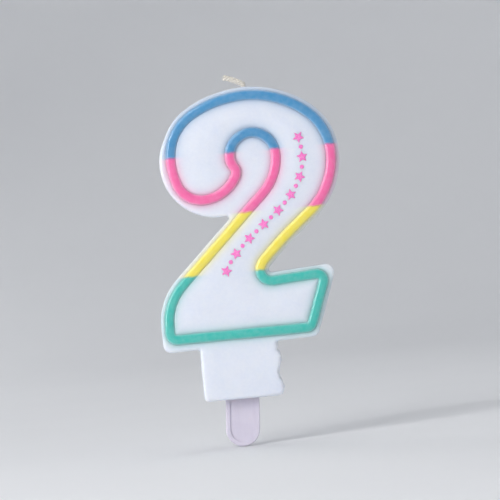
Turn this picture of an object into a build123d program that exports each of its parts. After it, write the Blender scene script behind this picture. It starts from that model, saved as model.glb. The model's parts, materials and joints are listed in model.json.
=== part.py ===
from build123d import *
from math import cos, pi, sin
import os

# A cast wax numeral "2" birthday candle on a plastic cake pick, in millimetres.
# X runs to the numeral's right, +Z is up and the decorated front faces -Y. The origin is on the pick's
# axis, in the plane of the tang's bottom face, which is the plane that rests on top of a cake.

# The stroke, measured on the centre line of its raised outline
foot_bottom = 18.1
foot_left = -18.2
foot_right_low = 21.0
foot_top_length = 15.0
foot_top_angle = 3.6
foot_side_height = 22.0
foot_radius = 15.1
notch_left = 8.3
notch_top = 35.0
notch_radius = 3.05
bowl_top = (8.6, 84.0)
bowl_right = (31.0, 66.0)
bowl_left = (-13.5, 68.0)
bowl_side_radius = 20.6
hook_bottom = (-5.5, 56.1)
hook_tip = (4.3, 63.2)
counter_centre = (9.3, 67.15)
counter_radius = 6.45
counter_side_radius = 14.7
left_edge_angle = 43.4
right_edge_angle = 37.4

# How far each pair of arcs follows its starting direction: the further, the fuller the curve
bowl_reach = 7.3
shoulder_reach = 8.2
hook_reach = 3.6
hook_under_reach = 6.4
hook_over_reach = 0.7
right_edge_reach = 9.0

# The wax casting
body_thickness = 10.0
rim = 2.4
foot_drop_left = 1.2
foot_drop_right = 0.4
web_centre = (-1.4, 66.4)
web_radius = 15.4
web_blend = (-16.0, 71.2)
web_blend_radius = 6.0
web_crease = (1.8, 51.3)
crease_radius = 0.6
pad_rise = 0.6
pad_edge_radius = 0.4
front_edge_radius = 0.9
back_edge_radius = 0.5
tang_left = -10.5
tang_right = 11.0
tang_overlap = 1.5
tang_corner_radius = 1.2
tang_rough_edge = [(tang_right, 12.8), (11.8, 9.8), (10.9, 6.2), (11.9, 2.2), (tang_right, 0)]

# The raised outline and its four colour bands, from the foot up
bead_width = 3.0
bead_rise = 0.9
bead_depth = 0.4
bead_edge_radius = 0.7
bead_corner_radius = 1.8
green_top = 35.2
yellow_top = 51.6
pink_top = 68.4

# The decals: stars with a dot between each pair, along the middle of the stroke
decal_path = [(-1.0, 35.8), (9.8, 47.2), (18.9, 55.4), (22.4, 71.0)]
decal_thickness = 0.2
star_count = 9
star_radius = 1.7
star_waist = 0.8
star_points = 5
star_turn = 17.0
dot_radius = 0.6

# The wick
wick_x = 8.6
wick_radius = 0.65
wick_bottom = 24.0
collar_radius = 1.5
collar_top_radius = 0.9
collar_height = 0.4
wick_gap = 0.05
wick_bend_radius = 0.8
wick_lean = 64.0
wick_free_length = 4.4

# The pick, which leans to the right of the numeral's upright, and the slot it slides in
pick_lean = 4.5
pick_width = 9.5
pick_thickness = 2.4
pick_tip = -13.4
pick_top = 22.0
pick_lead_in = 1.2
pick_edge_radius = 0.35
pick_panel_border = 1.2
pick_panel_depth = 0.3
pick_panel_top = -1.0
slot_clearance = 0.1
slot_headroom = 0.3
slot_mouth_flare = 0.6
slot_mouth_height = 0.8

face_y = body_thickness / 2
body_top = bowl_top[1] + rim
collar_top = body_top + collar_height
wick_pivot_z = collar_top + wick_gap + wick_radius


def front_plane(depth):
    """The XZ plane whose normal faces the front, moved towards the front by depth."""
    return Plane.XZ.offset(depth)


def layer(face, back, front):
    """A face drawn on the front plane, made solid between two distances in front of the middle."""
    return extrude(front_plane(back) * face, amount=front - back)


def strip(low, high):
    """A wide horizontal slice of space between two heights."""
    wide = 200
    return Pos(0, 0, (low + high) / 2) * Box(wide, wide, high - low)


def front_face(solid):
    """The flat face of a solid that lies furthest to the front."""
    return solid.faces().filter_by(Axis.Y).sort_by(Axis.Y)[0]


def back_face(solid):
    """The flat face of a solid that lies furthest to the back."""
    return solid.faces().filter_by(Axis.Y).sort_by(Axis.Y)[-1]


def biarc(start, start_direction, end, end_direction, reach):
    """Two arcs that run smoothly from one point and direction to another."""
    start, leave = Vector(start), Vector(start_direction)
    end, arrive = Vector(end), Vector(end_direction)
    gap = end - start
    left_over = gap.dot(gap) / 2 - reach * gap.dot(leave)
    far_reach = left_over / (gap.dot(arrive) + reach * (1 - leave.dot(arrive)))
    weight = far_reach / (reach + far_reach)
    meet = (start + leave * reach) * weight + (end - arrive * far_reach) * (1 - weight)
    first = TangentArc(start, meet, tangent=leave)
    return Wire([first, TangentArc(meet, end, tangent=first % 1)])


def stroke_face(drop_left=0, drop_right=0):
    """The numeral's stroke, bounded by the centre line of its raised outline.

    The drops deepen the foot at its two bottom corners.
    """
    up, down, left, right = (0, 1), (0, -1), (-1, 0), (1, 0)
    bowl = biarc(bowl_right, up, bowl_top, left, bowl_reach)
    shoulder = biarc(bowl_top, left, bowl_left, down, shoulder_reach)
    hook = biarc(bowl_left, down, hook_bottom, right, hook_reach)
    hook_under = biarc(hook_bottom, right, hook_tip, up, hook_under_reach)
    counter = CenterArc(counter_centre, counter_radius, 0, 180)
    hook_over = biarc(hook_tip, up, counter @ 1, up, hook_over_reach)
    counter_side = JernArc(counter @ 0, down, counter_side_radius, left_edge_angle - 90)
    bowl_side = JernArc(bowl_right, down, bowl_side_radius, right_edge_angle - 90)
    notch = JernArc((notch_left, notch_top), down, notch_radius, 90 + foot_top_angle)
    right_edge = biarc(bowl_side @ 1, bowl_side % 1, notch @ 0, down, right_edge_reach)
    foot = Polyline(
        notch @ 1,
        notch @ 1 + foot_top_length * (notch % 1),
        (foot_right_low, foot_bottom - drop_right),
        (foot_left, foot_bottom - drop_left),
        (foot_left, foot_side_height),
    )
    foot_side = JernArc(foot @ 1, up, foot_radius, left_edge_angle - 90)
    left_edge = Line(foot_side @ 1, counter_side @ 1)
    head = [bowl, shoulder, hook, hook_under, hook_over, counter]
    tail = [counter_side, left_edge, foot_side, foot, notch, right_edge, bowl_side]
    return make_face(head + tail)


def tang_face():
    """The block under the foot, with the rough right edge that trimming leaves."""
    top = foot_bottom - rim + tang_overlap
    rough = Spline(tang_rough_edge)
    sides = Polyline(rough @ 1, (tang_left, 0), (tang_left, top), (tang_right, top), rough @ 0)
    block = make_face([rough, sides])
    return fillet(block.vertices().group_by(Axis.Y)[0], tang_corner_radius)


def silhouette():
    """The casting's outline: the stroke with its rim, the web that fills the counter, and the tang.

    The rim is deeper under the foot than anywhere else, and deepest on its left.
    """
    outline = offset(stroke_face(foot_drop_left, foot_drop_right), rim)
    outline += Pos(*web_centre) * Circle(web_radius)
    outline += tang_face()
    underside = foot_bottom - rim - foot_drop_right
    creases = [web_crease, (tang_left, underside), (tang_right, underside), tang_rough_edge[0]]
    for place in creases:
        outline = fillet(outline.vertices().sort_by_distance(place)[:1], crease_radius)
    return fillet(outline.vertices().sort_by_distance(web_blend)[:1], web_blend_radius)


def bead_path_face():
    """The stroke with its three foot corners rounded, for the raised outline to follow."""
    stroke = stroke_face()
    bottom = stroke.vertices().group_by(Axis.Y)[0]
    right_tip = stroke.vertices().filter_by(lambda v: v.Y < notch_top).sort_by(Axis.X)[-1:]
    return fillet(bottom + right_tip, bead_corner_radius)


def bead_ring(path_face):
    """The whole raised outline in one piece, before it is divided into colours."""
    ring_face = offset(path_face, bead_width / 2) - offset(path_face, -bead_width / 2)
    ring = layer(ring_face, face_y - bead_depth, face_y + bead_rise)
    return fillet(front_face(ring).edges(), bead_edge_radius)


def pick_slot():
    """The pocket that the pick slides into, with a flared mouth at the tang's bottom."""
    width = pick_width + 2 * slot_clearance
    depth = pick_thickness + 2 * slot_clearance
    slot_top = pick_top + slot_headroom
    below = pick_width
    pocket = Pos(0, 0, (slot_top - below) / 2) * Box(width, depth, slot_top + below)
    mouth = Rectangle(width + 2 * slot_mouth_flare, depth + 2 * slot_mouth_flare)
    throat = Pos(0, 0, slot_mouth_height) * Rectangle(width, depth)
    return Rot(0, pick_lean, 0) * pocket + loft([mouth.face(), throat.face()])


def wick_collar():
    """The little cone of wax that climbs the wick where it leaves the casting."""
    sunk = collar_height
    cone = Cone(collar_radius, collar_top_radius, collar_height + sunk)
    return Pos(wick_x, 0, collar_top - (collar_height + sunk) / 2) * cone


def wax_body(path_face):
    """The casting: a slab with rounded edges, the raised pad, and room for outline, wick and pick."""
    slab = layer(silhouette(), -face_y, face_y)
    slab = fillet(front_face(slab).edges(), front_edge_radius)
    slab = fillet(back_face(slab).edges(), back_edge_radius)
    pad = layer(offset(path_face, -bead_width / 2), 0, face_y + pad_rise)
    pad = fillet(front_face(pad).edges(), pad_edge_radius)
    groove_bottom = face_y - bead_depth
    body = slab - layer(offset(path_face, bead_width / 2), groove_bottom, face_y)
    body += pad
    body += wick_collar()
    return body - pick_slot() - wick_core()


def beads(ring):
    """The raised outline cut at the colour changes, as named pieces."""
    lowest, highest = foot_bottom - rim, body_top
    green = (ring & strip(lowest, green_top)).solids()
    yellow = (ring & strip(green_top, yellow_top)).solids().sort_by(Axis.X)
    pink = (ring & strip(yellow_top, pink_top)).solids().sort_by(Axis.X)
    blue = (ring & strip(pink_top, highest)).solids().sort_by(SortBy.VOLUME)
    return {
        "green_bead": green[0],
        "yellow_left_bead": yellow[0],
        "yellow_right_bead": yellow[1],
        "pink_hook_bead": pink[0],
        "pink_inner_bead": pink[1],
        "pink_outer_bead": pink[2],
        "blue_inner_bead": blue[0],
        "blue_outer_bead": blue[1],
    }


def star_face():
    """A star whose first point lies on +X."""
    corners = 2 * star_points
    radii = [star_radius, star_waist] * star_points
    points = [
        (radius * cos(2 * pi * i / corners), radius * sin(2 * pi * i / corners))
        for i, radius in enumerate(radii)
    ]
    return Polygon(*points, align=None)


def star_decals():
    """Stars that follow the stroke, with a dot halfway between each pair."""
    path = Spline(decal_path)
    spaces = star_count - 1
    shapes = []
    for i in range(2 * spaces + 1):
        shape = star_face() if i % 2 == 0 else Circle(dot_radius)
        shapes.append(Pos(path @ (i / (2 * spaces))) * Rot(0, 0, star_turn * i) * shape)
    top = face_y + pad_rise
    return Compound(children=[layer(shape, top, top + decal_thickness) for shape in shapes])


def wick_core():
    """The straight length of wick inside the wax."""
    length = collar_top - wick_bottom
    return Pos(wick_x, 0, wick_bottom + length / 2) * Cylinder(wick_radius, length)


def wick_tip():
    """The free end of the wick, bent over to the left, with a round foot that turns on the core."""
    start = (wick_x, wick_pivot_z)
    bend = JernArc(start, (0, 1), wick_bend_radius, wick_lean)
    free = Line(bend @ 1, bend @ 1 + wick_free_length * (bend % 1))
    path = Plane.XZ * (bend + free)
    pivot = Pos(wick_x, 0, wick_pivot_z)
    tip = sweep(pivot * Circle(wick_radius), path=path)
    return tip + pivot * Sphere(wick_radius)


def cake_pick():
    """The blade: a round tip, a lead-in at the top and a shallow panel on both faces of the free end."""
    round_z = pick_tip + pick_width / 2
    outline = Pos(0, round_z) * Circle(pick_width / 2)
    outline += Pos(0, (round_z + pick_top) / 2) * Rectangle(pick_width, pick_top - round_z)
    outline = chamfer(outline.vertices().group_by(Axis.Y)[-1], pick_lead_in)
    blade = layer(outline, -pick_thickness / 2, pick_thickness / 2)
    blade = fillet(front_face(blade).edges(), pick_edge_radius)
    blade = fillet(back_face(blade).edges(), pick_edge_radius)
    panel = offset(outline, -pick_panel_border)
    panel &= Pos(0, pick_tip / 2 + pick_panel_top) * Rectangle(pick_width, -pick_tip)
    for side in (-1, 1):
        floor = side * (pick_thickness / 2 - pick_panel_depth)
        blade -= layer(panel, floor, side * pick_thickness)
    return Rot(0, pick_lean, 0) * blade


def build():
    """Every piece of the candle, by name."""
    path_face = bead_path_face()
    pieces = {"wax_body": wax_body(path_face)}
    pieces.update(beads(bead_ring(path_face)))
    pieces["star_decals"] = star_decals()
    pieces["wick_core"] = wick_core()
    pieces["wick_tip"] = wick_tip()
    pieces["cake_pick"] = cake_pick()
    return pieces


os.makedirs("parts", exist_ok=True)
for name, piece in build().items():
    export_step(piece, f"parts/{name}.step")
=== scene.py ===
import json
import math
import random

import bmesh
import bpy
import numpy as np
from mathutils import Matrix, Vector, kdtree, noise


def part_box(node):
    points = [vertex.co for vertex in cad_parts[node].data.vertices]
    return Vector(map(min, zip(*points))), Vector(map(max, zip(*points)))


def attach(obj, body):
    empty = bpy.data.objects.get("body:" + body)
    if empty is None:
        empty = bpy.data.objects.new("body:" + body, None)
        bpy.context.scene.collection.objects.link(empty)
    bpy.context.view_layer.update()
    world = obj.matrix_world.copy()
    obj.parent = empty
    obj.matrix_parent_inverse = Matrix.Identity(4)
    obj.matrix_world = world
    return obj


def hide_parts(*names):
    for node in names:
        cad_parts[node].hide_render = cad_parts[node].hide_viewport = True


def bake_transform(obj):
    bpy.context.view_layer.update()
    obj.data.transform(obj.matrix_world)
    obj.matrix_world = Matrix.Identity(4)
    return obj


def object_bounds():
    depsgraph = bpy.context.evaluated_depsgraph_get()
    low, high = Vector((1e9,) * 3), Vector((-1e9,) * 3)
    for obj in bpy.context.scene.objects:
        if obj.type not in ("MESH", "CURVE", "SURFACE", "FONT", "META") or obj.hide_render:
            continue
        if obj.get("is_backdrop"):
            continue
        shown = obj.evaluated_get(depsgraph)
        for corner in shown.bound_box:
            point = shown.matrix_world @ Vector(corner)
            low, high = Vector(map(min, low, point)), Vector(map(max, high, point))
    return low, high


# Looks for a number birthday candle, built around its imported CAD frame.
# Shapes are worked out in millimetres, in the frame's own axes (front is -Y), and become metres last.

MM = 0.001
SEED = 11

# A height well beyond the candle, upward or downward
FAR = 1000.0

# The wax casting
WAX_VOXEL = 0.3
FACE_Y = 5.0
EDGE_KEEP = 1.0
BEAD_SEAT = 4.95
PAD_RISE = 0.62
PAD_SHOULDER = 2.3
PAD_CROWN = 0.3
PAD_CROWN_REACH = 6.0
BACK_SINK = 0.55
BACK_SINK_REACH = 3.0
BACK_LIP = 0.14
BACK_LIP_PLACE = 1.1
BACK_LIP_WIDTH = 0.7
BACK_RIPPLE = 0.09
BACK_RIPPLE_SIZE = 4.0
BACK_RIPPLE_STRETCH = (1, 1, 0.6)
BACK_RIPPLE_FADE = 2.0
SWELL = 0.07
SWELL_SIZE = 9.0
RIPPLE = 0.025
RIPPLE_SIZE = 2.2
TANG_TOP = 15.0
TANG_RAGGED = 0.28
CHIP_SIZE = 1.3
CHIPPED_FROM_X = 8.0
CHIPPED_FADE = 3.0
LEFT_CHIP_SHARE = 0.35
SLOT_HALF_DEPTH = 1.9
SLOT_MOUTH_MARGIN = 0.3
CLEAR_OF_BORES = 2.5
ACROSS_GROOVE = -4.8
OUTLINE_STEP = 0.1
SILHOUETTE_ROUNDS = 40
GROOVE_ROUNDS = 3
RELAX_WEIGHTS = (0.5, -0.53)
WALL_FLAT = 4.1
WALL_FADE = 0.6
COLLAR_REACH = 2.2
SLOT_MOUTH_HALF_WIDTH = 6.4

# How far from the front or back face the shaping of that face reaches, and the bled dye
FRONT_BAND = 0.6
BACK_BAND = 0.8
BLEED_BAND = 1.2

# Rounds of smoothing after the casting is rebuilt, after its pad is raised and at the end
REBUILT_ROUNDS = 4
PAD_ROUNDS = 3
LAST_ROUNDS = 1

# The raised outline
BEAD_HALF_WIDTH = 1.5
BEAD_BOTTOM = 4.65
BEAD_TOP = 5.92
BEAD_STEP = 0.4
BEAD_ACROSS = 16
BEAD_WOBBLE = 0.07
BEAD_WIDTH_SIZE = 2.6
BEAD_SHIFT_SIZE = 4.0
BEAD_RISE_WOBBLE = 0.1
BEAD_RISE_SIZE = 3.0
BEAD_OVERLAP = 0.4
BEAD_SINK = 0.02
BEAD_FOOT_SHARE = 0.97
DOME_ROUNDNESS = 2.4
DOME_FULLNESS = 0.55
PALE_MIDDLE = 0.06
PALE_EDGE = 0.4
PALE_FROM = 0.55
JOIN_DIP = 0.14
JOIN_REACH = 0.9
JOIN_WOBBLE = 0.25
JOIN_WOBBLE_SIZE = 1.1
BLEED = 0.45
BLEED_REACH = 0.8

# The decals
INK_VOXEL = 0.12
INK_THICKNESS = 0.14
INK_SINK = 0.08
INK_RAGGED = 0.05
INK_RAGGED_SIZE = 0.5
INK_ROUNDS = 5

# The wick
STRANDS = 3
STRAND_RADIUS = 0.34
STRAND_ORBIT = 0.31
STRAND_PITCH = 2.6
STRAND_SIDES = 14
STRAND_STEP = 0.06
STRAND_TAPER = (0.95, 0.85, 0.7, 0.5)
STRAND_TRIM = (2, 9)
YARN_LOBES = 3
YARN_PITCH = 0.5
YARN_DEPTH = 0.045
FREE_FROM = 1.5
FREE_SWELL = 0.2
FRAY = 0.55
FRAY_LENGTH = 1.3
FIBRES = 26
FIBRE_RADIUS = 0.028
FIBRE_SIDES = 5
FIBRE_RINGS = 8
FIBRE_TIP = 0.45
FIBRE_CURL = 0.3
FIBRE_SPREAD = (0.15, 0.75)
FIBRE_ROOT = (0.2, 1.5)
END_FIBRE_SHARE = 0.7
END_FIBRE_PLACES = 14
END_FIBRE_LENGTH = (0.35, 0.95)
SIDE_FIBRE_LENGTH = (0.2, 0.45)
WICK_PAST_CAD = 0.93
WICK_END_DROP = 0.9
CURVE_SAMPLES = 40
BEND_FROM = (0.2, 0, -0.3)
BEND_TO = (-1.9, 0, 1.5)

# Roughness ranges. Each stays on one side of about 0.275, because a finish that varied across that
# value rendered with hard-edged patches
SATIN = (0.285, 0.38)
GLOSSY = (0.2, 0.26)
SCATTER_BALANCE = (1.0, 0.9, 0.8)

# The part of a noise texture's output that is spread over a finish's range
NOISE_LOW = 0.2
NOISE_HIGH = 0.8

# Blender's Mix node has a set of sockets for each kind of value. These are its share and two colours
MIX_INPUTS = (0, 6, 7)
MIX_RESULT = 2

# The photograph's view
VIEW_AIM = (6.06, 0.0, 41.05)
VIEW_WIDTH = 140.0
VIEW_DISTANCE = 700.0
VIEW_ROLL = 5.5

# The studio, in metres: each lamp's place, width, height and power in watts
LAMPS = {
    "key": ((-0.35, -0.6, 0.55), 0.4, 0.4, 2.0),
    "strip": ((-0.45, -0.42, 0.1), 0.04, 0.5, 2.42),
    "fill": ((0.6, -0.45, 0.25), 0.5, 0.5, 0.56),
    "top": ((0.05, 0.1, 0.8), 0.5, 0.5, 0.93),
    "behind": ((-0.45, 0.55, 0.3), 0.35, 0.4, 0.93),
}
LAMP_AIM = (0.006, 0, 0.04)
SKY = (0.92, 0.95, 1.0, 1)
SKY_STRENGTH = 0.28
COVE_RADIUS = 0.55
COVE_CURVE = 0.45
COVE_HEIGHT = 1.6
COVE_SIDES = 96
COVE_STEPS = 12
FLOOR_GAP = 0.0001

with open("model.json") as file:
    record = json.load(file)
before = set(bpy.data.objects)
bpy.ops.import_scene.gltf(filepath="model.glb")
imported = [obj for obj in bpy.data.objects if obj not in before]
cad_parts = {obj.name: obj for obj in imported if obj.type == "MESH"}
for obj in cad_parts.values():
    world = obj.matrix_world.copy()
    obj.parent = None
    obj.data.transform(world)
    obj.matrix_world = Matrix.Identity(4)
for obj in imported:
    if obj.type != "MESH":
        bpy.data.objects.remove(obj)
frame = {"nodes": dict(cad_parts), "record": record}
cad_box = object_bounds()
beads = [node for node in frame["nodes"] if node.endswith("_bead")]


def linear(*levels):
    """A colour given as 0 to 255 screen levels, as the linear values that shaders use."""
    parts = np.array(levels) / 255
    return tuple(np.where(parts <= 0.04045, parts / 12.92, ((parts + 0.055) / 1.055) ** 2.4))


WHITE_WAX = linear(225, 229, 238)
BLUE_WAX = linear(30, 134, 186)
PINK_WAX = linear(240, 88, 158)
YELLOW_WAX = linear(240, 222, 52)
GREEN_WAX = linear(10, 182, 168)
PINK_INK = linear(246, 118, 196)
COTTON = linear(226, 220, 208)
PLASTIC = linear(214, 208, 222)
FLOOR = linear(235, 236, 238)


# Outlines read from the CAD frame

def cad_bmesh(*nodes):
    """The meshes of CAD nodes in one bmesh, in millimetres."""
    bm = bmesh.new()
    for node in nodes:
        bm.from_mesh(frame["nodes"][node].data)
    bmesh.ops.scale(bm, vec=(1 / MM,) * 3, verts=bm.verts)
    bmesh.ops.remove_doubles(bm, verts=bm.verts, dist=1e-4)
    return bm


def section_loops(node, y):
    """The closed outlines of a node's section at depth y, as arrays of (x, z), the largest first."""
    bm = cad_bmesh(node)
    everything = [*bm.verts, *bm.edges, *bm.faces]
    cut = bmesh.ops.bisect_plane(bm, geom=everything, plane_co=(0, y, 0), plane_no=(0, 1, 0))
    links = {}
    for item in cut["geom_cut"]:
        if isinstance(item, bmesh.types.BMEdge):
            for vert in item.verts:
                links.setdefault(vert, []).append(item.other_vert(vert))
    loops = []
    while links:
        vert, loop = next(iter(links)), []
        while vert in links:
            loop.append((vert.co.x, vert.co.z))
            vert = next((other for other in links.pop(vert) if other in links), None)
        loops.append(np.array(loop))
    bm.free()
    return sorted(loops, key=lambda loop: -np.prod(np.ptp(loop, axis=0)))


def evenly(loop, step):
    """A loop resampled at even steps, running anticlockwise as seen from the front."""
    closed = np.vstack([loop, loop[:1]])
    along = np.concatenate([[0], np.cumsum(np.hypot(*np.diff(closed, axis=0).T))])
    count = round(along[-1] / step)
    places = np.arange(count) * along[-1] / count
    x, z = (np.interp(places, along, closed[:, axis]) for axis in (0, 1))
    area = np.sum(x * np.roll(z, -1) - z * np.roll(x, -1))
    even = np.column_stack([x, z])
    return even if area > 0 else even[::-1]


def softened(loop, rounds):
    """A loop with its corners relaxed."""
    for _ in range(rounds):
        loop = (np.roll(loop, 1, 0) + 2 * loop + np.roll(loop, -1, 0)) / 4
    return loop


def outward(loop):
    """Unit vectors that point out of an anticlockwise loop."""
    tangent = np.roll(loop, -1, 0) - np.roll(loop, 1, 0)
    normal = np.column_stack([tangent[:, 1], -tangent[:, 0]])
    return normal / np.linalg.norm(normal, axis=1, keepdims=True)


def project(loop, points):
    """Each (x, z) point's nearest place on a loop, and how far inside the loop the point lies.

    The nearest corner is found first, and then the two edges beside it are tried."""
    tree = kdtree.KDTree(len(loop))
    for index, (x, z) in enumerate(loop):
        tree.insert((x, z, 0), index)
    tree.balance()
    nearest = np.array([tree.find((x, z, 0))[1] for x, z in points])
    places, gaps = loop[nearest], np.linalg.norm(points - loop[nearest], axis=1)
    for first in (nearest - 1, nearest):
        start, step = loop[first], loop[(first + 1) % len(loop)] - loop[first]
        share = np.clip(np.sum((points - start) * step, axis=1) / np.sum(step * step, axis=1), 0, 1)
        place = start + share[:, None] * step
        gap = np.linalg.norm(points - place, axis=1)
        closer = gap < gaps
        places[closer], gaps[closer] = place[closer], gap[closer]
    side = np.sum((points - places) * outward(loop)[nearest], axis=1)
    return places, -np.copysign(gaps, side)


def depth_inside(loop, points):
    """How far inside a loop each (x, z) point lies, negative outside."""
    return project(loop, points)[1]


# The silhouette is read behind the middle, where the wick's bore and the pick's slot don't cut it. Near the
# front the largest loop is still the casting's own, and the next is the outer edge of the outline's groove
body_loop = section_loops("wax_body", CLEAR_OF_BORES)[0]
groove_loop = section_loops("wax_body", ACROSS_GROOVE)[1]
silhouette = softened(evenly(body_loop, OUTLINE_STEP), SILHOUETTE_ROUNDS)
groove_outer = softened(evenly(groove_loop, BEAD_STEP), GROOVE_ROUNDS)
bead_line = evenly(groove_outer - BEAD_HALF_WIDTH * outward(groove_outer), BEAD_STEP)

# The three heights where one colour of outline gives way to the next
JOINS = [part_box(node)[1][2] / MM for node in ("green_bead", "yellow_left_bead", "pink_inner_bead")]


# Meshes

def smooth_shaded(mesh):
    """Shades a mesh smoothly."""
    mesh.polygons.foreach_set("use_smooth", [True] * len(mesh.polygons))


def make_object(name, mesh):
    """A new object that shows a mesh with smooth shading."""
    obj = bpy.data.objects.new(name, mesh)
    bpy.context.collection.objects.link(obj)
    smooth_shaded(mesh)
    return obj


def even_solid(name, bm, voxel):
    """The solid that a bmesh encloses, rebuilt from even quads, still in millimetres."""
    rough = bpy.data.meshes.new(name)
    bm.to_mesh(rough)
    bm.free()
    obj = make_object(name, rough)
    remesh = obj.modifiers.new("even quads", "REMESH")
    remesh.mode = "VOXEL"
    remesh.voxel_size = voxel
    bpy.context.view_layer.update()
    even = bpy.data.meshes.new_from_object(obj.evaluated_get(bpy.context.evaluated_depsgraph_get()))
    obj.modifiers.clear()
    obj.data = even
    smooth_shaded(even)
    return obj


def read_vectors(items, key):
    """One vector for each item of a mesh, as an array."""
    flat = np.empty(3 * len(items))
    items.foreach_get(key, flat)
    return flat.reshape(-1, 3)


def get_points(mesh):
    """A mesh's vertices as an array."""
    return read_vectors(mesh.vertices, "co")


def set_points(mesh, points):
    """Writes an array of positions to a mesh's vertices."""
    mesh.vertices.foreach_set("co", points.ravel())
    mesh.update()


def get_normals(mesh):
    """A mesh's vertex normals as an array."""
    return read_vectors(mesh.vertex_normals, "vector")


def relaxed(mesh, points, rounds):
    """Points smoothed over a mesh's edges. Each step in is followed by one out, so that it doesn't shrink."""
    ends = np.empty(2 * len(mesh.edges), dtype=int)
    mesh.edges.foreach_get("vertices", ends)
    first, second = ends.reshape(-1, 2).T
    count = len(points)
    degree = np.bincount(ends, minlength=count)[:, None]
    for _ in range(rounds):
        for weight in RELAX_WEIGHTS:
            total = np.column_stack([
                np.bincount(first, points[second, axis], count)
                + np.bincount(second, points[first, axis], count)
                for axis in range(3)
            ])
            points = points + weight * (total / degree - points)
    return points


def noise_at(points, size, offset=0.0):
    """Smooth noise from -1 to 1 at each point, with lumps of about the given size.

    Each offset gives its own pattern."""
    shift = Vector((offset, offset, offset))
    return np.array([noise.noise(Vector(point) / size + shift) for point in points])


def smoothstep(values):
    """Values from 0 to 1 with soft ends."""
    clipped = np.clip(values, 0, 1)
    return clipped * clipped * (3 - 2 * clipped)


def finish_piece(obj, body, material, slot_name, *replaced):
    """Turns a piece to metres, and gives it its material and body. The slot name is not used."""
    obj.data.transform(Matrix.Scale(MM, 4))
    obj.data.materials.clear()
    obj.data.materials.append(material)
    if body:
        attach(obj, body)
    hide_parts(*replaced)


def paint(mesh, name, colours):
    """Stores one colour per vertex for the shader to read."""
    layer = mesh.color_attributes.new(name, "FLOAT_COLOR", "POINT")
    layer.data.foreach_set("color", np.ascontiguousarray(colours, dtype=np.float32).ravel())


def band_colours(points):
    """The outline's colour at each point: four bands, mixed a little where they meet."""
    wobble = JOIN_WOBBLE * noise_at(points, JOIN_WOBBLE_SIZE, 5.0)
    colours = np.tile(GREEN_WAX, (len(points), 1))
    for height, colour in zip(JOINS, (YELLOW_WAX, PINK_WAX, BLUE_WAX)):
        share = smoothstep((points[:, 2] + wobble - height) / JOIN_REACH + 0.5)[:, None]
        colours = colours * (1 - share) + np.array(colour) * share
    return colours


# Materials

class Shader:
    """A material with short ways to add and join nodes."""

    def __init__(self, name, **surface):
        self.material = bpy.data.materials.new(name)
        self.material.use_nodes = True
        self.nodes = self.material.node_tree.nodes
        self.links = self.material.node_tree.links
        self.surface = self.nodes["Principled BSDF"]
        self.set(self.surface, **surface)
        self.coords = self.nodes.new("ShaderNodeTexCoord").outputs["Object"]

    def feed(self, socket, value):
        """Feeds a socket from another node's output, a colour or a plain value."""
        if isinstance(value, bpy.types.NodeSocket):
            self.links.new(value, socket)
        elif socket.type == "RGBA":
            socket.default_value = (*value, 1)
        else:
            socket.default_value = value

    def set(self, node, **values):
        """Feeds inputs by name, with underscores for spaces."""
        for key, value in values.items():
            self.feed(node.inputs[key.replace("_", " ")], value)

    def noise(self, size, detail=3.0, stretch=(1, 1, 1)):
        """Noise with lumps of about the given size in millimetres."""
        mapping = self.nodes.new("ShaderNodeMapping")
        self.set(mapping, Vector=self.coords, Scale=[1 / part for part in stretch])
        node = self.nodes.new("ShaderNodeTexNoise")
        self.set(node, Vector=mapping.outputs["Vector"], Scale=1 / (size * MM), Detail=detail)
        return node.outputs["Fac"]

    def spread(self, value, low, high):
        """Maps noise to a range of numbers, easing into both ends so that no flat patch has an edge."""
        node = self.nodes.new("ShaderNodeMapRange")
        node.interpolation_type = "SMOOTHSTEP"
        self.set(node, Value=value, From_Min=NOISE_LOW, From_Max=NOISE_HIGH, To_Min=low, To_Max=high)
        return node.outputs["Result"]

    def mix(self, share, first, second):
        """A mix of two colours."""
        node = self.nodes.new("ShaderNodeMix")
        node.data_type = "RGBA"
        for index, value in zip(MIX_INPUTS, (share, first, second)):
            self.feed(node.inputs[index], value)
        return node.outputs[MIX_RESULT]

    def attribute(self, name):
        """A vertex colour and its alpha."""
        node = self.nodes.new("ShaderNodeAttribute")
        node.attribute_name = name
        return node.outputs["Color"], node.outputs["Alpha"]

    def bump(self, *layers):
        """Stacks bumps, each given as a height output and its depth in millimetres."""
        normal = None
        for height, depth in layers:
            node = self.nodes.new("ShaderNodeBump")
            self.set(node, Height=height, Distance=depth * MM)
            if normal:
                self.set(node, Normal=normal)
            normal = node.outputs["Normal"]
        self.set(self.surface, Normal=normal)


def scatter(shader, weight, reach):
    """Lets light travel under the surface by a distance in millimetres."""
    shader.set(
        shader.surface,
        Subsurface_Weight=weight,
        Subsurface_Radius=SCATTER_BALANCE,
        Subsurface_Scale=reach * MM,
    )


def white_wax():
    """Paraffin: milky, faintly mottled, with a soft skin, fine pits and dye bled from the outline."""
    shader = Shader("white_wax", IOR=1.44, Coat_Weight=0.3, Coat_Roughness=0.14)
    scatter(shader, 0.75, 2.2)
    cloudy = shader.spread(shader.noise(7.0), 0.0, 1.0)
    base = shader.mix(cloudy, WHITE_WAX, linear(219, 224, 236))
    speckle = shader.spread(shader.noise(0.8, 5.0), 0.0, 0.35)
    base = shader.mix(speckle, base, linear(233, 235, 240))
    tint, share = shader.attribute("bleed")
    base = shader.mix(share, base, tint)
    shader.set(shader.surface, Base_Color=base)
    shader.set(shader.surface, Roughness=shader.spread(shader.noise(3.0, 3.0), *SATIN))
    shader.bump(
        (shader.noise(2.6, 2.0), 0.05),
        (shader.noise(0.45, 3.0), 0.014),
        (shader.noise(0.12, 2.0), 0.004),
    )
    return shader.material


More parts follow.
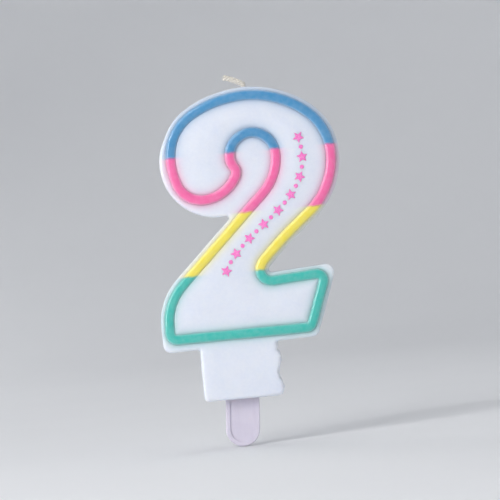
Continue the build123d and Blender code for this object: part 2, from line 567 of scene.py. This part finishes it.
def dyed_wax(name):
    """Coloured wax of the raised outline, paler where it thins at its edges."""
    shader = Shader(name, IOR=1.44, Coat_Weight=0.35, Coat_Roughness=0.12)
    scatter(shader, 0.3, 0.7)
    colour, pale = shader.attribute("dye")
    milky = shader.mix(pale, colour, WHITE_WAX)
    uneven = shader.spread(shader.noise(1.4, 4.0), 0.0, 0.08)
    shader.set(shader.surface, Base_Color=shader.mix(uneven, milky, WHITE_WAX))
    shader.set(shader.surface, Roughness=shader.spread(shader.noise(3.0, 1.0), *GLOSSY))
    shader.bump((shader.noise(1.3, 2.0), 0.04), (shader.noise(0.3, 3.0), 0.01))
    return shader.material


def pink_print():
    """Printed ink, thin and slightly broken, so that the wax shows through in flecks."""
    shader = Shader("pink_print", IOR=1.45)
    scatter(shader, 0.15, 0.5)
    flecks = shader.spread(shader.noise(0.35, 5.0), -0.25, 0.4)
    shader.set(shader.surface, Base_Color=shader.mix(flecks, PINK_INK, linear(244, 206, 228)))
    shader.set(shader.surface, Roughness=shader.spread(shader.noise(0.9), 0.38, 0.55))
    shader.bump((shader.noise(0.25, 3.0), 0.012))
    return shader.material


def cotton_wick():
    """Waxed cotton yarn, with painted shade darkening it between its fibres."""
    shader = Shader("cotton_wick", IOR=1.4, Sheen_Weight=0.3, Roughness=0.72)
    scatter(shader, 0.3, 0.4)
    # Painted shade: darker streaks along the yarn stand for the shade between its fibres
    fibres = shader.spread(shader.noise(0.09, 4.0, stretch=(1, 1, 4)), 0.0, 1.0)
    stain = shader.spread(shader.noise(1.2), 0.0, 0.35)
    base = shader.mix(fibres, linear(198, 190, 176), COTTON)
    shader.set(shader.surface, Base_Color=shader.mix(stain, base, linear(238, 238, 236)))
    shader.bump((shader.noise(0.08, 3.0, stretch=(1, 1, 4)), 0.03))
    return shader.material


def white_plastic():
    """Injection-moulded polypropylene, slightly milky, with faint flow lines along the blade."""
    shader = Shader("white_plastic", IOR=1.49)
    scatter(shader, 0.4, 1.1)
    cloudy = shader.spread(shader.noise(5.0), 0.0, 1.0)
    flow = shader.noise(0.9, 3.0, stretch=(1, 1, 9))
    base = shader.mix(cloudy, PLASTIC, linear(206, 199, 215))
    base = shader.mix(shader.spread(flow, 0.0, 0.3), base, linear(226, 221, 232))
    shader.set(shader.surface, Base_Color=base)
    shader.set(shader.surface, Roughness=shader.spread(flow, *SATIN))
    shader.bump((flow, 0.02), (shader.noise(0.15, 3.0), 0.004))
    return shader.material


def plain_floor():
    """Matt pale board with a very slight tooth."""
    shader = Shader("plain_floor", Specular_IOR_Level=0.2)
    mottle = shader.spread(shader.noise(60.0), 0.0, 0.25)
    shader.set(shader.surface, Base_Color=shader.mix(mottle, FLOOR, linear(230, 231, 234)))
    shader.set(shader.surface, Roughness=shader.spread(shader.noise(4.0), 0.75, 0.9))
    shader.bump((shader.noise(1.0, 4.0), 0.03))
    return shader.material


# Pieces

def front_height(inside):
    """The front surface's distance from the mid-plane, by depth inside the outline's centre line."""
    seat_half_width = BEAD_HALF_WIDTH - BEAD_OVERLAP
    shoulder = np.clip((inside - seat_half_width) / PAD_SHOULDER, 0, 1)
    pad = PAD_RISE * np.sqrt(1 - (1 - shoulder) ** 2)
    crown = PAD_CROWN * smoothstep((inside - BEAD_HALF_WIDTH) / PAD_CROWN_REACH)
    seat = np.where(np.abs(inside) < seat_half_width, BEAD_SEAT, FACE_Y)
    return seat + pad + crown


def back_relief(points, edge):
    """How the open-poured back rises to a lip near its edge, sinks within it, and ripples."""
    shrunk = 1 - np.exp(-np.maximum(edge, 0) / BACK_SINK_REACH)
    lip = np.exp(-((edge - BACK_LIP_PLACE) / BACK_LIP_WIDTH) ** 2)
    ripple = noise_at(points * BACK_RIPPLE_STRETCH, BACK_RIPPLE_SIZE, 6.0)
    faded = ripple * smoothstep(edge / BACK_RIPPLE_FADE)
    return BACK_LIP * lip - BACK_SINK * shrunk + BACK_RIPPLE * faded


def smooth_walls(points):
    """Points with those on the side walls brought exactly onto the silhouette, except at openings."""
    places, edge = project(silhouette, points[:, [0, 2]])
    low, high = (np.array(corner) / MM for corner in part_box("wick_core"))
    from_wick = np.hypot(points[:, 0] - (low[0] + high[0]) / 2, points[:, 1])
    collar = (from_wick < COLLAR_REACH) & (points[:, 2] > high[2] - COLLAR_REACH)
    across = np.abs(points[:, 0]) < SLOT_MOUTH_HALF_WIDTH
    through = np.abs(points[:, 1]) < SLOT_HALF_DEPTH + SLOT_MOUTH_MARGIN
    openings = collar | (across & through & (points[:, 2] < EDGE_KEEP))
    share = smoothstep((WALL_FLAT - np.abs(points[:, 1])) / WALL_FADE)
    share = np.where(openings | (np.abs(edge) > WALL_FADE), 0, share)[:, None]
    moved = points.copy()
    moved[:, [0, 2]] += share * (places - points[:, [0, 2]])
    return moved


def pillowed(points, edge, inside):
    """Points with the front raised into a pad inside the outline."""
    front = (points[:, 1] < -FACE_Y + FRONT_BAND) & (edge > EDGE_KEEP)
    points[front, 1] = -front_height(inside[front])
    return points


def poured(points, normals, edge):
    """Points swollen and rippled as poured wax is, except in the slot and the wick's bore."""
    hidden = (np.abs(points[:, 1]) < SLOT_HALF_DEPTH) & (edge > EDGE_KEEP)
    lift = SWELL * noise_at(points, SWELL_SIZE) + RIPPLE * noise_at(points, RIPPLE_SIZE, 3.0)
    points = points + normals * np.where(hidden, 0, lift)[:, None]
    back = points[:, 1] > FACE_Y - BACK_BAND
    points[:, 1] += np.where(back, back_relief(points, edge), 0)
    return points


def chipped(points, edge):
    """Points with the tang's sides made ragged, its right side most."""
    sides = (points[:, 2] < TANG_TOP) & (edge < EDGE_KEEP)
    strength = smoothstep((points[:, 0] - CHIPPED_FROM_X) / CHIPPED_FADE) + LEFT_CHIP_SHARE
    chips = TANG_RAGGED * strength * noise_at(points, CHIP_SIZE, 9.0)
    points[:, 0] += np.where(sides, chips, 0)
    return points


def bled_dye(points, inside):
    """The outline's colour at each point, with how much of it has bled into the white there."""
    share = BLEED * np.exp(-np.maximum(np.abs(inside) - BEAD_HALF_WIDTH, 0) / BLEED_REACH)
    share = np.where(points[:, 1] < -FACE_Y + BLEED_BAND, share, 0)
    return np.column_stack([band_colours(points), share])


def wax_casting(material):
    """The casting, from its CAD solid with the outline's groove filled, then softened like poured wax."""
    obj = even_solid("wax_casting", cad_bmesh("wax_body", *beads), WAX_VOXEL)
    mesh = obj.data
    points = smooth_walls(relaxed(mesh, get_points(mesh), REBUILT_ROUNDS))
    flat = points[:, [0, 2]]
    edge = depth_inside(silhouette, flat)
    inside = depth_inside(bead_line, flat)
    points = smooth_walls(relaxed(mesh, pillowed(points, edge, inside), PAD_ROUNDS))
    set_points(mesh, points)
    points = poured(points, get_normals(mesh), edge)
    points = relaxed(mesh, chipped(points, edge), LAST_ROUNDS)
    set_points(mesh, points)
    paint(mesh, "bleed", bled_dye(points, inside))
    finish_piece(obj, "candle", material, "white_wax", "wax_body")


def bead_section():
    """Half-width shares and heights round the outline's section, from one foot over to the other."""
    shares = np.sin(np.linspace(-math.pi / 2, math.pi / 2, BEAD_ACROSS))
    dome = (1 - np.abs(shares) ** DOME_ROUNDNESS) ** DOME_FULLNESS
    heights = FACE_Y - BEAD_SINK + (BEAD_TOP - FACE_Y) * dome
    shares = np.concatenate([[-BEAD_FOOT_SHARE], shares, [BEAD_FOOT_SHARE]])
    heights = np.concatenate([[BEAD_BOTTOM], heights, [BEAD_BOTTOM]])
    return shares, heights


def bead_ring():
    """The whole raised outline as one closed sweep, in a bmesh."""
    normals = outward(bead_line)
    centres = np.column_stack([bead_line[:, 0], np.zeros(len(bead_line)), bead_line[:, 1]])
    width = BEAD_HALF_WIDTH + BEAD_WOBBLE * noise_at(centres, BEAD_WIDTH_SIZE, 1.0)
    shift = BEAD_WOBBLE * noise_at(centres, BEAD_SHIFT_SIZE, 2.0)
    rise = 1 + BEAD_RISE_WOBBLE * noise_at(centres, BEAD_RISE_SIZE, 7.0)
    for height in JOINS:
        near = np.abs(bead_line[:, 1] - height)
        rise -= JOIN_DIP * np.exp(-(near / JOIN_REACH) ** 2)
    shares, heights = bead_section()
    bm = bmesh.new()
    rings = []
    for centre, normal, half, side, up in zip(bead_line, normals, width, shift, rise):
        ring = []
        for share, height in zip(shares, heights):
            x, z = centre + normal * (side + half * share)
            y = height if height < FACE_Y else FACE_Y + (height - FACE_Y) * up
            ring.append(bm.verts.new((x, -y, z)))
        rings.append(ring)
    for ring, after in zip(rings, rings[1:] + rings[:1]):
        for index in range(len(ring)):
            other = (index + 1) % len(ring)
            bm.faces.new((ring[index], ring[other], after[other], after[index]))
    bmesh.ops.recalc_face_normals(bm, faces=bm.faces)
    return bm


def keep_between(bm, low, high):
    """Cuts a bmesh to the slice between two heights and closes its cut ends."""
    for height, sense in ((low, -1), (high, 1)):
        everything = [*bm.verts, *bm.edges, *bm.faces]
        cut = bmesh.ops.bisect_plane(
            bm, geom=everything, plane_co=(0, 0, height), plane_no=(0, 0, sense), clear_outer=True
        )
        edges = [item for item in cut["geom_cut"] if isinstance(item, bmesh.types.BMEdge)]
        bmesh.ops.holes_fill(bm, edges=edges, sides=0)


def islands(bm):
    """The separate solids of a bmesh, each as a set of vertices, in the order of their first vertices."""
    groups = []
    for first in bm.verts:
        if any(first in group for group in groups):
            continue
        group, frontier = {first}, [first]
        while frontier:
            vert = frontier.pop()
            beside = {edge.other_vert(vert) for edge in vert.link_edges} - group
            group |= beside
            frontier.extend(beside)
        groups.append(group)
    return groups


def island_mesh(bm, group, name):
    """One solid of a bmesh as its own mesh."""
    single = bm.copy()
    bm.verts.index_update()
    keep = {vert.index for vert in group}
    single.verts.ensure_lookup_table()
    spare = [vert for index, vert in enumerate(single.verts) if index not in keep]
    bmesh.ops.delete(single, geom=spare, context="VERTS")
    mesh = bpy.data.meshes.new(name)
    single.to_mesh(mesh)
    single.free()
    return mesh


def nearest_bead(mesh):
    """The CAD outline piece whose box is centred nearest to a mesh's own."""
    points = get_points(mesh)
    middle = (points.min(axis=0) + points.max(axis=0)) / 2

    def gap(node):
        low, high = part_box(node)
        return np.linalg.norm((np.array(low) + np.array(high)) / (2 * MM) - middle)

    return min(beads, key=gap)


def outline_beads():
    """The raised outline, cut at its colour changes, each length standing for its CAD piece."""
    heights = [-FAR, *JOINS, FAR]
    for low, high in zip(heights, heights[1:]):
        bm = bead_ring()
        keep_between(bm, low, high)
        for group in islands(bm):
            mesh = island_mesh(bm, group, "outline")
            node = nearest_bead(mesh)
            points = get_points(mesh)
            across = np.abs(depth_inside(bead_line, points[:, [0, 2]])) / BEAD_HALF_WIDTH
            rim = smoothstep((across - PALE_FROM) / (1 - PALE_FROM))
            pale = PALE_MIDDLE + (PALE_EDGE - PALE_MIDDLE) * rim
            paint(mesh, "dye", np.column_stack([band_colours(points), pale]))
            obj = make_object(f"{node}_wax", mesh)
            colour = node.split("_")[0]
            finish_piece(obj, "candle", dyed_wax(f"{node}_dye"), f"{colour}_wax", node)
        bm.free()


def printed_stars(material):
    """The decals, laid over the pillowed front with soft edges."""
    obj = even_solid("printed_stars", cad_bmesh("star_decals"), INK_VOXEL)
    mesh = obj.data
    points = relaxed(mesh, get_points(mesh), INK_ROUNDS)
    low, high = points[:, 1].min(), points[:, 1].max()
    top = (high - points[:, 1]) / (high - low)
    surface = front_height(depth_inside(bead_line, points[:, [0, 2]]))
    points[:, 1] = -(surface - INK_SINK + (INK_THICKNESS + INK_SINK) * top)
    ragged = INK_RAGGED * noise_at(points, INK_RAGGED_SIZE, 4.0)
    set_points(mesh, points)
    points = points + get_normals(mesh) * [1, 0, 1] * ragged[:, None]
    set_points(mesh, points)
    finish_piece(obj, "candle", material, "pink_print", "star_decals")


def wick_line():
    """The wick's path out of the collar and over to its free end, a little past its CAD solid."""
    low, high = (np.array(corner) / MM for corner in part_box("wick_tip"))
    joints = frame["record"]["behaviour"]["joints"]
    joint = next(item for item in joints if item["name"] == "wick_bend")
    pivot = np.array(joint["pos_m"]) / MM
    end = np.array([low[0] - WICK_PAST_CAD, 0, high[2] - WICK_END_DROP])
    knots = [
        pivot + [0, 0, -2.2],
        pivot + [0, 0, -0.9],
        pivot + [-0.06, 0, -0.1],
        pivot + [-0.8, 0.08, 0.4],
        (pivot + end) / 2 + [-0.1, -0.08, 0.3],
        end,
    ]
    return catmull(knots, STRAND_STEP)


def catmull(knots, step):
    """A smooth line through knots, at even steps."""
    padded = [2 * knots[0] - knots[1], *knots, 2 * knots[-1] - knots[-2]]
    line = []
    for a, b, c, d in zip(padded, padded[1:], padded[2:], padded[3:]):
        for t in np.linspace(0, 1, CURVE_SAMPLES, endpoint=False):
            square = (2 * a - 5 * b + 4 * c - d) * t**2
            cube = (3 * b - a - 3 * c + d) * t**3
            line.append(0.5 * (2 * b + (c - a) * t + square + cube))
    line = np.array([*line, knots[-1]])
    along = np.concatenate([[0], np.cumsum(np.linalg.norm(np.diff(line, axis=0), axis=1))])
    places = np.arange(0, along[-1], step)
    return np.column_stack([np.interp(places, along, line[:, axis]) for axis in range(3)])


def side_axes(line):
    """Two directions square to a line at each of its points."""
    tangents = np.gradient(line, axis=0)
    tangents /= np.linalg.norm(tangents, axis=1, keepdims=True)
    side = np.cross(tangents, [0, 1, 0])
    side /= np.linalg.norm(side, axis=1, keepdims=True)
    return side, np.cross(side, tangents)


def tube(bm, line, radii):
    """Adds a closed tube along a line; radii holds a row for each ring, with one radius for each side."""
    sides = radii.shape[1]
    angles = 2 * math.pi * np.arange(sides) / sides
    rings = []
    for centre, side, up, row in zip(line, *side_axes(line), radii):
        rings.append([
            bm.verts.new(centre + radius * (math.cos(angle) * side + math.sin(angle) * up))
            for angle, radius in zip(angles, row)
        ])
    for ring, after in zip(rings, rings[1:]):
        for index in range(sides):
            other = (index + 1) % sides
            bm.faces.new((ring[index], ring[other], after[other], after[index]))
    bm.faces.new(rings[0])
    bm.faces.new(rings[-1][::-1])


def strands(rng, line, side, up):
    """Each plied strand's path and radii, looser once out of the wax and splayed at the free end."""
    along = STRAND_STEP * np.arange(len(line))
    swell = 1 + FREE_SWELL * smoothstep((along - FREE_FROM) / FREE_FROM)
    loosen = swell + FRAY * smoothstep((along - along[-1] + FRAY_LENGTH) / FRAY_LENGTH)
    orbit = (STRAND_ORBIT * loosen)[:, None]
    angles = 2 * math.pi * np.arange(STRAND_SIDES) / STRAND_SIDES
    for strand in range(STRANDS):
        turn = 2 * math.pi * (along / STRAND_PITCH + strand / STRANDS)
        path = line + orbit * (np.cos(turn)[:, None] * side + np.sin(turn)[:, None] * up)
        path = path[: len(path) - rng.randrange(*STRAND_TRIM)]
        yarn = np.cos(YARN_LOBES * angles[None] + 2 * math.pi * along[: len(path), None] / YARN_PITCH)
        radii = (STRAND_RADIUS + YARN_DEPTH * yarn) * swell[: len(path), None]
        radii[-len(STRAND_TAPER):] *= np.array(STRAND_TAPER)[:, None]
        yield path, radii


def twisted_wick(material):
    """Three plied strands, fraying into loose fibres at the free end."""
    rng = random.Random(SEED)
    line = wick_line()
    side, up = side_axes(line)
    bm = bmesh.new()
    for path, radii in strands(rng, line, side, up):
        tube(bm, path, radii)
    for _ in range(FIBRES):
        add_fibre(bm, rng, line, side, up)
    bmesh.ops.recalc_face_normals(bm, faces=bm.faces)
    mesh = bpy.data.meshes.new("twisted_wick")
    bm.to_mesh(mesh)
    bm.free()
    obj = make_object("twisted_wick", mesh)
    finish_piece(obj, None, material, "cotton_wick", "wick_tip")
    root = Vector((line[0][0] * MM, 0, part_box("wick_tip")[0][2]))
    start, end = (root + MM * Vector(place) for place in (BEND_FROM, BEND_TO))
    tuple(start)
    tuple(end)
    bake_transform(obj)


def add_fibre(bm, rng, line, side, up):
    """One loose fibre: most spring from the frayed end, a few from along the wick."""
    last = len(line) - 1
    at_end = rng.random() < END_FIBRE_SHARE
    index = last - rng.randrange(1, END_FIBRE_PLACES) if at_end else rng.randrange(last // 2, last)
    angle = rng.uniform(0, 2 * math.pi)
    out = math.cos(angle) * side[index] + math.sin(angle) * up[index]
    ahead = line[index] - line[index - 1]
    ahead /= np.linalg.norm(ahead)
    length = rng.uniform(*(END_FIBRE_LENGTH if at_end else SIDE_FIBRE_LENGTH))
    spread = rng.uniform(*FIBRE_SPREAD)
    root = line[index] + out * STRAND_ORBIT * rng.uniform(*FIBRE_ROOT)
    shares = np.linspace(0, 1, FIBRE_RINGS)[:, None]
    path = root + length * shares * (ahead * (1 - FIBRE_CURL * shares) + out * spread * shares)
    taper = np.linspace(1, FIBRE_TIP, FIBRE_RINGS)[:, None] * np.ones((1, FIBRE_SIDES))
    tube(bm, path, FIBRE_RADIUS * taper)


# The studio

def cove(material):
    """A floor that sweeps up into a wall all round, so that every view has the same plain backdrop."""
    level = cad_box[0][2] - FLOOR_GAP
    profile = [(COVE_RADIUS, 0.0)]
    for step in range(1, COVE_STEPS + 1):
        angle = step / COVE_STEPS * math.pi / 2
        profile.append((COVE_RADIUS + COVE_CURVE * math.sin(angle), COVE_CURVE * (1 - math.cos(angle))))
    profile.append((COVE_RADIUS + COVE_CURVE, COVE_HEIGHT))
    bm = bmesh.new()
    centre = bm.verts.new((0, 0, level))
    angles = [2 * math.pi * side / COVE_SIDES for side in range(COVE_SIDES)]
    rings = [
        [bm.verts.new((radius * math.cos(a), radius * math.sin(a), z + level)) for a in angles]
        for radius, z in profile
    ]
    for side in range(COVE_SIDES):
        other = (side + 1) % COVE_SIDES
        bm.faces.new((centre, rings[0][side], rings[0][other]))
        for ring, above in zip(rings, rings[1:]):
            bm.faces.new((ring[side], above[side], above[other], ring[other]))
    mesh = bpy.data.meshes.new("cove")
    bm.to_mesh(mesh)
    bm.free()
    mesh.materials.append(material)
    make_object("cove", mesh)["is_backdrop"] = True


def softbox(name, place, width, height, power):
    """A rectangular area light that faces the candle."""
    light = bpy.data.lights.new(name, "AREA")
    light.shape = "RECTANGLE"
    light.size, light.size_y = width, height
    light.energy = power
    obj = bpy.data.objects.new(name, light)
    obj.location = place
    obj.rotation_euler = (Vector(LAMP_AIM) - Vector(place)).to_track_quat("-Z", "Y").to_euler()
    bpy.context.collection.objects.link(obj)


def lights():
    """Soft light from the upper left, a strip for the long highlights, fill and a light behind."""
    for name, (place, width, height, power) in LAMPS.items():
        softbox(name, place, width, height, power)
    world = bpy.data.worlds.new("studio")
    world.use_nodes = True
    background = world.node_tree.nodes["Background"]
    background.inputs["Color"].default_value = SKY
    background.inputs["Strength"].default_value = SKY_STRENGTH
    bpy.context.scene.world = world


def camera():
    """The photograph's view: straight on, with the candle leaning a little to the left."""
    lens = bpy.data.cameras.new("view")
    lens.angle = 2 * math.atan(VIEW_WIDTH / 2 / VIEW_DISTANCE)
    obj = bpy.data.objects.new("view", lens)
    roll = Matrix.Rotation(math.radians(VIEW_ROLL), 4, "Y")
    level = Matrix.Rotation(math.radians(90), 4, "X")
    place = Matrix.Translation(Vector(VIEW_AIM) * MM + Vector((0, -VIEW_DISTANCE * MM, 0)))
    obj.matrix_world = place @ roll @ level
    bpy.context.collection.objects.link(obj)
    bpy.context.scene.camera = obj


def dress_node(node, material):
    """Gives a CAD node that stays visible its finished material."""
    data = frame["nodes"][node].data
    data.materials.clear()
    data.materials.append(material)


cotton = cotton_wick()
wax_casting(white_wax())
outline_beads()
printed_stars(pink_print())
twisted_wick(cotton)
dress_node("wick_core", cotton)
dress_node("cake_pick", white_plastic())
cove(plain_floor())
lights()
camera()
bpy.context.scene.view_settings.view_transform = "Standard"

boxes = {"cad": cad_box, "visual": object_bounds()}
{key: [list(corner) for corner in box] for key, box in boxes.items()}
